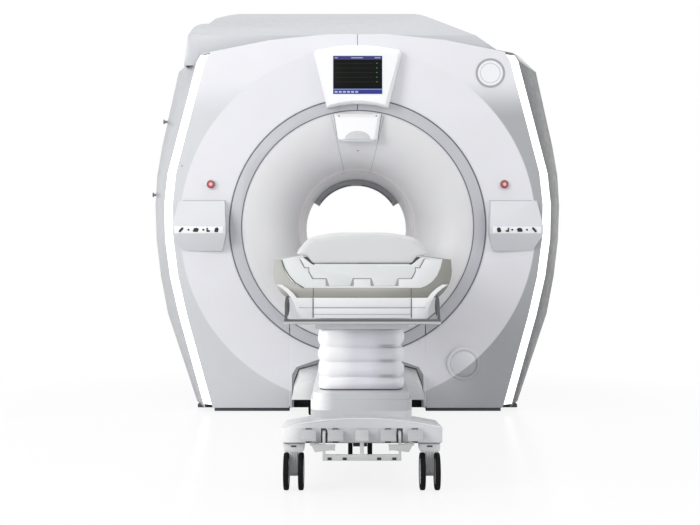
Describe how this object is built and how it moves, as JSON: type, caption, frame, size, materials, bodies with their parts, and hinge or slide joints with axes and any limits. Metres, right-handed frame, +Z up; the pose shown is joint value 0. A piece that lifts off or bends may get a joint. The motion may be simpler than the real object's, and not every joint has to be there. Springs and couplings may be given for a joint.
{
  "type": "mri scanner",
  "caption": "Wide-bore magnetic resonance scanner: a rounded gantry with a trumpet-mouthed bore, and a wheeled patient table with a bellows lift docked at its front",
  "frame": {"origin": "on the floor, under the middle of the bore, at the centre of the base frame's underside", "axes": "+X to the right seen from the table, +Y along the bore from the patient table to the back of the gantry, +Z up"},
  "size_m": [2.5034, 4.218, 2.442],
  "materials": {
    "steel_frame": "matte",
    "vessel_steel": "satin",
    "copper_coil": "matte",
    "cold_head_alloy": "satin",
    "ram_chrome": "polished",
    "bore_white": "satin",
    "cover_silver": "satin",
    "trim_grey": "satin",
    "light_diffuser": "satin",
    "screen_glass": "polished",
    "key_membrane": "matte",
    "stop_red": "gloss",
    "shell_grey": "satin",
    "tray_white": "satin",
    "pad_vinyl": "satin",
    "pedal_grey": "satin",
    "caster_alloy": "satin",
    "tyre_black": "matte"
  },
  "bodies": {
    "gantry": {"base_frame": "steel_frame", "magnet_vessel": "vessel_steel", "service_turret": "vessel_steel", "cold_head": "cold_head_alloy", "gradient_coil": "copper_coil", "body_coil": "copper_coil", "bore_liner": "bore_white", "front_funnel": "bore_white", "rear_funnel": "bore_white", "bore_bridge": "bore_white", "front_cover_left": "cover_silver", "front_cover_right": "cover_silver", "lower_cover": "cover_silver", "ring_left": "trim_grey", "ring_right": "trim_grey", "ring_bottom": "trim_grey", "edge_light_left": "light_diffuser", "edge_light_right": "light_diffuser", "side_cover_left": "cover_silver", "side_cover_right": "cover_silver", "roof_cover": "cover_silver", "rear_cover": "cover_silver", "display_housing": "cover_silver", "display_screen": "screen_glass", "light_housing": "bore_white", "light_lens": "light_diffuser", "control_panel_left": "cover_silver", "control_panel_right": "cover_silver", "keypad_left": "key_membrane", "keypad_right": "key_membrane", "service_cap": "cover_silver", "dock_unit": "steel_frame"},
    "stop_left": {"stop_button_left": "stop_red"},
    "stop_right": {"stop_button_right": "stop_red"},
    "dolly": {"dolly_frame": "steel_frame", "dolly_cover": "cover_silver", "lift_column": "cold_head_alloy", "bellows": "pad_vinyl"},
    "table": {"lift_ram": "ram_chrome", "table_frame": "steel_frame", "table_trough": "tray_white", "table_shell": "shell_grey", "table_skirt": "cover_silver", "push_handle": "ram_chrome"},
    "patient": {"cradle": "tray_white", "pad": "pad_vinyl"},
    "swivel_near_left": {"caster_fork_near_left": "caster_alloy"},
    "wheel_near_left": {"caster_wheel_near_left": "tyre_black"},
    "swivel_near_right": {"caster_fork_near_right": "caster_alloy"},
    "wheel_near_right": {"caster_wheel_near_right": "tyre_black"},
    "swivel_far_left": {"caster_fork_far_left": "caster_alloy"},
    "wheel_far_left": {"caster_wheel_far_left": "tyre_black"},
    "swivel_far_right": {"caster_fork_far_right": "caster_alloy"},
    "wheel_far_right": {"caster_wheel_far_right": "tyre_black"},
    "steering": {"steering_wheel": "tyre_black"},
    "pedal_lower_arm": {"pedal_lower": "pedal_grey"},
    "pedal_raise_arm": {"pedal_raise": "pedal_grey"},
    "pedal_dock_arm": {"pedal_dock": "pedal_grey"},
    "pedal_undock_arm": {"pedal_undock": "pedal_grey"},
    "brake": {"foot_bar": "pedal_grey"}
  },
  "joints": [
    {"name": "stop_left_press", "type": "slide", "parent": "gantry", "child": "stop_left", "axis": [0, 1, 0], "range_m": [0, 0.005], "stiffness_N_per_m": 900, "springref_m": -0.002},
    {"name": "stop_right_press", "type": "slide", "parent": "gantry", "child": "stop_right", "axis": [0, 1, 0], "range_m": [0, 0.005], "stiffness_N_per_m": 900, "springref_m": -0.002},
    {"name": "table_undock", "type": "slide", "parent": "gantry", "child": "dolly", "axis": [0, -1, 0], "range_m": [0, 1.5]},
    {"name": "table_lift", "type": "slide", "parent": "dolly", "child": "table", "axis": [0, 0, 1], "range_m": [-0.18, 0], "deforming": ["bellows"]},
    {"name": "cradle_slide", "type": "slide", "parent": "table", "child": "patient", "axis": [0, 1, 0], "range_m": [0, 1.7]},
    {"name": "swivel_near_left_turn", "type": "hinge", "parent": "dolly", "child": "swivel_near_left", "pos_m": [-0.272, -3.095, 0.2], "axis": [0, 0, 1], "continuous": true},
    {"name": "wheel_near_left_roll", "type": "hinge", "parent": "swivel_near_left", "child": "wheel_near_left", "pos_m": [-0.272, -3.125, 0.075], "axis": [1, 0, 0], "continuous": true},
    {"name": "swivel_near_right_turn", "type": "hinge", "parent": "dolly", "child": "swivel_near_right", "pos_m": [0.272, -3.095, 0.2], "axis": [0, 0, 1], "continuous": true},
    {"name": "wheel_near_right_roll", "type": "hinge", "parent": "swivel_near_right", "child": "wheel_near_right", "pos_m": [0.272, -3.125, 0.075], "axis": [1, 0, 0], "continuous": true},
    {"name": "swivel_far_left_turn", "type": "hinge", "parent": "dolly", "child": "swivel_far_left", "pos_m": [-0.244, -0.995, 0.2], "axis": [0, 0, 1], "continuous": true},
    {"name": "wheel_far_left_roll", "type": "hinge", "parent": "swivel_far_left", "child": "wheel_far_left", "pos_m": [-0.244, -1.025, 0.075], "axis": [1, 0, 0], "continuous": true},
    {"name": "swivel_far_right_turn", "type": "hinge", "parent": "dolly", "child": "swivel_far_right", "pos_m": [0.244, -0.995, 0.2], "axis": [0, 0, 1], "continuous": true},
    {"name": "wheel_far_right_roll", "type": "hinge", "parent": "swivel_far_right", "child": "wheel_far_right", "pos_m": [0.244, -1.025, 0.075], "axis": [1, 0, 0], "continuous": true},
    {"name": "steering_wheel_roll", "type": "hinge", "parent": "dolly", "child": "steering", "pos_m": [0, -2.387, 0.075], "axis": [1, 0, 0], "continuous": true},
    {"name": "pedal_lower_press", "type": "hinge", "parent": "dolly", "child": "pedal_lower_arm", "pos_m": [0, -3.137, 0.238], "axis": [1, 0, 0], "range_deg": [0, 10], "stiffness_Nm_per_rad": 12, "springref_deg": -4.58},
    {"name": "pedal_raise_press", "type": "hinge", "parent": "dolly", "child": "pedal_raise_arm", "pos_m": [0, -3.137, 0.238], "axis": [1, 0, 0], "range_deg": [0, 10], "stiffness_Nm_per_rad": 12, "springref_deg": -4.58},
    {"name": "pedal_dock_press", "type": "hinge", "parent": "dolly", "child": "pedal_dock_arm", "pos_m": [0, -3.137, 0.238], "axis": [1, 0, 0], "range_deg": [0, 10], "stiffness_Nm_per_rad": 12, "springref_deg": -4.58},
    {"name": "pedal_undock_press", "type": "hinge", "parent": "dolly", "child": "pedal_undock_arm", "pos_m": [0, -3.137, 0.238], "axis": [1, 0, 0], "range_deg": [0, 10], "stiffness_Nm_per_rad": 12, "springref_deg": -4.58},
    {"name": "foot_bar_tip", "type": "hinge", "parent": "dolly", "child": "brake", "pos_m": [0, -3.137, 0.238], "axis": [1, 0, 0], "range_deg": [-10, 10]}
  ]
}
